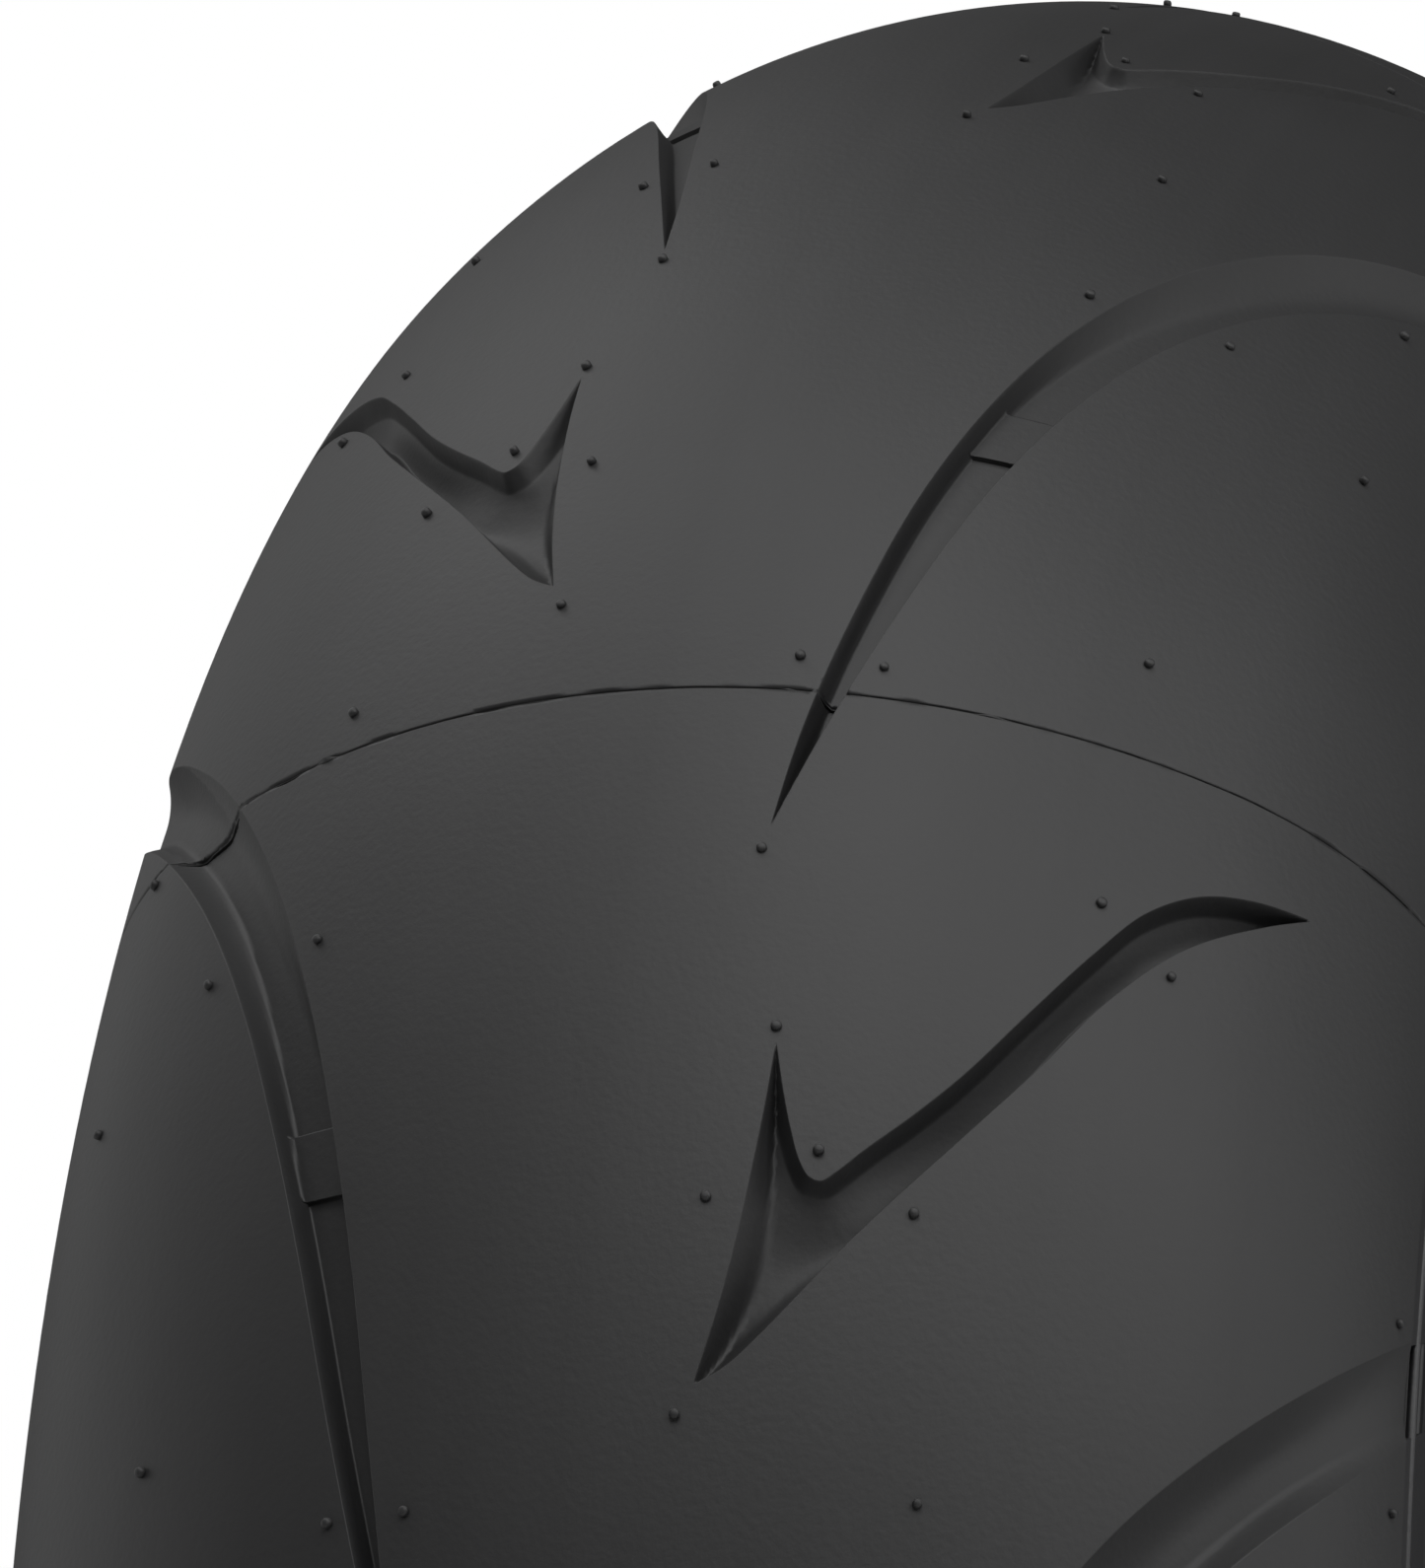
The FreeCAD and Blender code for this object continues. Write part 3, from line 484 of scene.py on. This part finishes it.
def make_tread():
    """The tread cap, as its eight mould sectors."""
    points, normals, faces, places = sector_mesh()
    faces = facing(points, faces, tread_normal(places[:, 0], places[:, 1]))
    rim = edge_loop(faces)
    ring = places[sorted({a for a, _ in rim})]
    grid = np.array([
        (along, across)
        for along in np.arange(SEAM_ALONG + 8, SEAM_ALONG + PITCH - 5, 8.0)
        for across in np.arange(-HALF_TREAD + 7, HALF_TREAD - 5, 7.0)
    ])
    under, under_faces = triangulate(np.vstack([ring, grid]), [])
    under_points = on_tread(under[:, 0], under[:, 1], -CAP_THICKNESS + UNDER_GAP)
    under_faces = facing(under_points, under_faces, -tread_normal(under[:, 0], under[:, 1]))
    base = len(points)
    vertices = np.vstack([points, under_points])
    under_of = {tuple(np.round(p, 3)): base + i for i, p in enumerate(under)}
    all_faces = list(faces) + [tuple(base + i for i in face) for face in under_faces]
    for a, b in rim:
        low_a, low_b = (under_of[tuple(np.round(places[i], 3))] for i in (a, b))
        all_faces += [(b, a, low_a), (b, low_a, low_b)]
    sectors = []
    for number in range(PITCHES):
        turn = Matrix.Rotation(-2 * math.pi * number / PITCHES, 4, "Y")
        obj = new_object(f"tread_sector_{number + 1}", vertices, all_faces)
        set_normals(obj, normals, len(faces))
        obj.data.transform(turn)
        sectors.append(obj)
    return sectors


def set_normals(obj, normals, outer):
    """Gives the outer surface, the mesh's first triangles, its exact normals; the rest is shaded flat."""
    mesh = obj.data
    smooth = np.zeros(len(mesh.polygons), bool)
    smooth[:outer] = True
    mesh.polygons.foreach_set("use_smooth", smooth)
    loops = np.zeros((len(mesh.loops), 3), np.float32)
    corner = np.zeros(len(mesh.loops), np.int32)
    mesh.loops.foreach_get("vertex_index", corner)
    first = corner[:3 * outer]
    loops[:3 * outer] = normals[first]
    mesh.normals_split_custom_set(loops.tolist())


# ------------------------------------------------------------------ sides, vents and seams

# The sidewall's two arcs: the (width, radius) of each centre, and each arc's radius. Then each rib's place on
# them, in degrees from the axle's normal, and the radius of its round section.
UPPER_SIDE = ((58.29, 242.34), 35.0)
LOWER_SIDE = ((81.29, 242.34), 12.0)
RIB_SLOPES = (80, 107, 112, 117, 150, 160)
RIB_RADIUS = 0.7


def make_ribs(name, side):
    """Low concentric ribs on one sidewall, as rings of round section sunk most of the way in."""
    steps, corners = 360, 10
    vertices, faces = [], []
    for degrees in RIB_SLOPES:
        slope = math.radians(degrees)
        centre, radius = UPPER_SIDE if degrees < 90 else LOWER_SIDE
        reach = radius - RIB_RADIUS / 2
        width, height = centre[0] + reach * math.sin(slope), centre[1] + reach * math.cos(slope)
        start = len(vertices)
        for i in range(steps):
            turn = 2 * math.pi * i / steps
            for k in range(corners):
                angle = 2 * math.pi * k / corners
                r, w = height + RIB_RADIUS * math.cos(angle), side * (width + RIB_RADIUS * math.sin(angle))
                vertices.append((r * MM * math.cos(turn), w * MM, r * MM * math.sin(turn)))
        for i in range(steps):
            j = (i + 1) % steps
            for k in range(corners):
                m = (k + 1) % corners
                here, there = start + i * corners, start + j * corners
                quad = (here + k, here + m, there + m, there + k)
                faces.append(quad if side > 0 else quad[::-1])
    return new_object(name, vertices, faces)


def make_spews():
    """The short rubber stubs that the mould's vents leave, each with a softened end."""
    rng = random.Random(5)
    profile = [(1.0, -0.3), (0.98, 0.3), (0.94, 0.62), (0.72, 0.86), (0.35, 0.93)]
    sides = 12
    vertices, faces = [], []
    for pitch in range(PITCHES):
        for side in (1, -1):
            for along, across in VENTS:
                place = along + pitch * PITCH + (0 if side > 0 else PITCH / 2)
                base = on_tread(np.array([place]), np.array([side * across]), np.array([0.0]))[0]
                normal = tread_normal(np.array([place]), np.array([side * across]))[0]
                radius = rng.uniform(0.62, 0.74)
                tall = rng.uniform(0.7, 1.0)
                lean = np.array([rng.uniform(-0.12, 0.12) for _ in range(3)])
                first = np.cross(normal, (0, 1, 0.3))
                first /= np.linalg.norm(first)
                second = np.cross(normal, first)
                start = len(vertices)
                for share, height in profile:
                    up = base + (normal + lean * max(height, 0)) * height * tall * MM
                    for k in range(sides):
                        angle = 2 * math.pi * k / sides
                        spoke = first * math.cos(angle) + second * math.sin(angle)
                        vertices.append(up + spoke * share * radius * MM)
                for ring in range(len(profile) - 1):
                    for k in range(sides):
                        m = (k + 1) % sides
                        a, b = start + ring * sides, start + (ring + 1) * sides
                        faces.append((a + k, a + m, b + m, b + k))
                faces.append(tuple(start + (len(profile) - 1) * sides + k for k in range(sides)))
                faces.append(tuple(start + k for k in reversed(range(sides))))
    return new_object("vent_stubs", vertices, faces)


# Lumps in the flash at a seam: each one's place across the tread, its reach to both sides and its height.
FLASH_LUMPS = [(-48.5, 1.5, 0.75), (-64.0, 2.2, 0.3), (-78.0, 4.0, 0.35), (44.3, 1.6, 0.45), (18.0, 0.8, 0.3)]


def make_flash():
    """The thin, torn edge of rubber at each seam, with a few small lumps and a tab near one edge."""
    across = np.arange(-112.0, 112.01, 0.4)
    torn = ripple(across * 1.7 + 11) * (0.25 + 0.75 * ease((10 - across) / 60))
    height = 0.16 * torn - 0.3
    width = 0.05 + 0.12 * torn
    for place, reach, tall in FLASH_LUMPS:
        bump = np.exp(-((across - place) / reach) ** 2)
        height = height + tall * bump
        width = width + 0.5 * tall * bump
    tab = ease((across - 97) / 2) * (1 - ease((across - 107) / 2))
    height = height + 0.75 * tab
    vertices, faces = [], []
    count = len(across)
    for pitch in range(PITCHES):
        along = np.full(count, SEAM_ALONG + pitch * PITCH)
        sunk = np.maximum(tread_depth(along - 0.3, across), tread_depth(along + 0.3, across))
        rise = np.where(sunk > 0.05, -0.3, height)
        start = len(vertices)
        for shift, lift in ((-1, -0.4), (0.15, 1), (1, -0.4)):
            top = np.where(lift > 0, rise, lift) - sunk
            vertices += list(on_tread(along + shift * width, across, top))
        for i in range(count - 1):
            for k in range(3):
                m = (k + 1) % 3
                a, b = start + k * count + i, start + m * count + i
                faces.append((a, a + 1, b + 1, b))
        faces.append((start, start + count, start + 2 * count))
        faces.append((start + 3 * count - 1, start + 2 * count - 1, start + count - 1))
    return new_object("seam_flash", vertices, faces)


# ------------------------------------------------------------------ materials

def node_material(name):
    """A new material with its node tree and its shader."""
    material = bpy.data.materials.new(name)
    material.use_nodes = True
    tree = material.node_tree
    return material, tree, tree.nodes["Principled BSDF"]


def rubber(name, dark, light, roughness, bump, specular=0.5):
    """Moulded rubber: a mottled near-black with faint streaks round the tyre and a fine grain."""
    material, tree, shader = node_material(name)
    link = tree.links.new
    place = tree.nodes.new("ShaderNodeTexCoord")
    cloud = tree.nodes.new("ShaderNodeTexNoise")
    cloud.inputs["Scale"].default_value = 14
    cloud.inputs["Detail"].default_value = 5
    link(place.outputs["Object"], cloud.inputs["Vector"])
    squeeze = tree.nodes.new("ShaderNodeMapping")
    squeeze.inputs["Scale"].default_value = (2.0, 160.0, 2.0)
    link(place.outputs["Object"], squeeze.inputs["Vector"])
    streak = tree.nodes.new("ShaderNodeTexNoise")
    streak.inputs["Scale"].default_value = 1
    streak.inputs["Detail"].default_value = 3
    link(squeeze.outputs["Vector"], streak.inputs["Vector"])
    mix = tree.nodes.new("ShaderNodeMath")
    mix.operation = "MULTIPLY_ADD"
    mix.inputs[1].default_value = 0.35
    link(streak.outputs["Fac"], mix.inputs[0])
    link(cloud.outputs["Fac"], mix.inputs[2])
    ramp = tree.nodes.new("ShaderNodeValToRGB")
    ramp.color_ramp.elements[0].position = 0.45
    ramp.color_ramp.elements[0].color = (*dark, 1)
    ramp.color_ramp.elements[1].position = 0.9
    ramp.color_ramp.elements[1].color = (*light, 1)
    link(mix.outputs["Value"], ramp.inputs["Fac"])
    link(ramp.outputs["Color"], shader.inputs["Base Color"])
    shader.inputs["Roughness"].default_value = roughness
    shader.inputs["Specular IOR Level"].default_value = specular
    grain = tree.nodes.new("ShaderNodeTexNoise")
    grain.inputs["Scale"].default_value = 900
    grain.inputs["Detail"].default_value = 4
    link(place.outputs["Object"], grain.inputs["Vector"])
    relief = tree.nodes.new("ShaderNodeBump")
    relief.inputs["Strength"].default_value = bump
    relief.inputs["Distance"].default_value = 0.0002
    link(grain.outputs["Fac"], relief.inputs["Height"])
    link(relief.outputs["Normal"], shader.inputs["Normal"])
    return material


def cords(name, dark, light, roughness, metallic):
    """Parallel cords or wires, seen as fine light and dark bands across the width."""
    material, tree, shader = node_material(name)
    link = tree.links.new
    place = tree.nodes.new("ShaderNodeTexCoord")
    bands = tree.nodes.new("ShaderNodeTexWave")
    bands.bands_direction = "Y"
    bands.inputs["Scale"].default_value = 120
    bands.inputs["Distortion"].default_value = 0.4
    link(place.outputs["Object"], bands.inputs["Vector"])
    ramp = tree.nodes.new("ShaderNodeValToRGB")
    ramp.color_ramp.elements[0].color = (*dark, 1)
    ramp.color_ramp.elements[1].color = (*light, 1)
    link(bands.outputs["Fac"], ramp.inputs["Fac"])
    link(ramp.outputs["Color"], shader.inputs["Base Color"])
    shader.inputs["Roughness"].default_value = roughness
    shader.inputs["Metallic"].default_value = metallic
    return material


def set_material(obj, material):
    """Makes this the object's only material."""
    obj.data.materials.clear()
    obj.data.materials.append(material)


# ------------------------------------------------------------------ the object

TREAD_RUBBER = rubber("tread_rubber", (0.004, 0.004, 0.0043), (0.009, 0.009, 0.0094), 0.6, 0.25)
SIDE_RUBBER = rubber("side_rubber", (0.005, 0.005, 0.0055), (0.011, 0.011, 0.012), 0.5, 0.3)
BASE_RUBBER = rubber("base_rubber", (0.022, 0.022, 0.022), (0.034, 0.034, 0.034), 0.65, 0.3)
LINER_RUBBER = rubber("liner_rubber", (0.020, 0.020, 0.021), (0.032, 0.032, 0.033), 0.38, 0.4)
PLY_CORD = cords("ply_cord", (0.16, 0.12, 0.07), (0.36, 0.30, 0.20), 0.8, 0.0)
STEEL_CORD = cords("steel_cord", (0.25, 0.19, 0.10), (0.62, 0.52, 0.32), 0.35, 1.0)
BEAD_WIRE = cords("bead_wire", (0.28, 0.20, 0.10), (0.62, 0.48, 0.28), 0.3, 1.0)

sectors = make_tread()
for sector in sectors:
    set_material(sector, TREAD_RUBBER)
    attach(sector, "root")
    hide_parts("tread_cap")
flash = make_flash()
set_material(flash, TREAD_RUBBER)
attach(flash, "root")
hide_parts("mould_flash")
spews = make_spews()
set_material(spews, TREAD_RUBBER)
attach(spews, "root")
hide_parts("vent_spews")
for side_name, side in (("right", 1), ("left", -1)):
    ribs = make_ribs(f"sidewall_ribs_{side_name}", side)
    set_material(ribs, SIDE_RUBBER)
    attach(ribs, "root")
INNER = {
    "undertread": BASE_RUBBER, "belt_edge_strip": BASE_RUBBER, "bead_filler": BASE_RUBBER,
    "steel_belt": STEEL_CORD, "bead_core": BEAD_WIRE, "inner_liner": LINER_RUBBER,
    "breaker_ply": PLY_CORD, "carcass_ply": PLY_CORD, "bead_wrap": PLY_CORD, "chafer": PLY_CORD,
}
for name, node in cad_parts.items():
    inner = [material for start, material in INNER.items() if name.startswith(start)]
    set_material(node, inner[0] if inner else SIDE_RUBBER)

# ------------------------------------------------------------------ stage, light and camera


def make_floor():
    """A plain pale floor under the tyre."""
    low = CAD_BOX[0][2]
    bpy.ops.mesh.primitive_plane_add(size=8, location=(0, 0, low))
    floor = bpy.context.object
    floor.name = "floor"
    material, _, shader = node_material("floor_paint")
    shader.inputs["Base Color"].default_value = (0.82, 0.82, 0.82, 1)
    shader.inputs["Roughness"].default_value = 0.8
    set_material(floor, material)


AMBIENT = 0.02


def make_world():
    """White to the camera, and a very faint grey light for everything else."""
    world = bpy.data.worlds.new("studio")
    bpy.context.scene.world = world
    world.use_nodes = True
    tree = world.node_tree
    back = tree.nodes["Background"]
    back.inputs["Color"].default_value = (1, 1, 1, 1)
    path = tree.nodes.new("ShaderNodeLightPath")
    level = tree.nodes.new("ShaderNodeMapRange")
    level.inputs["To Min"].default_value = AMBIENT
    level.inputs["To Max"].default_value = 1.0
    tree.links.new(path.outputs["Is Camera Ray"], level.inputs["Value"])
    tree.links.new(level.outputs["Result"], back.inputs["Strength"])


# The middle of the tread that the camera sees, each soft light's place and power in watts, and their size.
AIM = (0.26, 0.0, 0.12)
LIGHT_SIZE = 0.8
LIGHTS = [
    ("front_top", (1.19, 0.29, 1.39), 11.5), ("front_right", (0.83, 1.22, 0.98), 10.7),
    ("front_left", (1.42, -0.69, 0.98), 2.7), ("overhead", (0.57, 0.10, 1.69), 6.8),
    ("top_right", (0.20, 1.06, 1.31), 2.4), ("right", (-0.11, 1.54, 0.38), 5.0),
    ("top_back", (0.04, -0.83, 1.47), 6.5), ("left_back", (0.05, -1.58, 0.23), 3.6),
    ("rim", (-0.50, -1.23, 0.81), 1.6),
]


def soft_light(name, position, power):
    """A square area light that faces the tread."""
    data = bpy.data.lights.new(name, "AREA")
    data.shape = "SQUARE"
    data.size = LIGHT_SIZE
    data.energy = power
    light = bpy.data.objects.new(name, data)
    light.location = position
    light.rotation_euler = (Vector(AIM) - Vector(position)).to_track_quat("-Z", "Y").to_euler()
    bpy.context.scene.collection.objects.link(light)


def make_camera():
    """The camera stands near axle height in front of the tread and looks up at it."""
    azimuth, elevation = math.radians(17.145), math.radians(-9.571)
    back = Vector((
        math.cos(azimuth) * math.cos(elevation), math.sin(azimuth) * math.cos(elevation), math.sin(elevation)
    ))
    right = Vector((-math.sin(azimuth), math.cos(azimuth), 0))
    up = back.cross(right)
    data = bpy.data.cameras.new("camera")
    data.sensor_width = 36
    data.lens = 202.65
    data.clip_end = 50
    camera = bpy.data.objects.new("camera", data)
    rotation = Matrix((right, up, back)).transposed().to_4x4()
    camera.matrix_world = Matrix.Translation((1.32359, 0.33519, -0.03533)) @ rotation
    bpy.context.scene.collection.objects.link(camera)
    bpy.context.scene.camera = camera


make_floor()
make_world()
for name, position, power in LIGHTS:
    soft_light(name, position, power)
make_camera()
bpy.context.scene.view_settings.view_transform = "Standard"
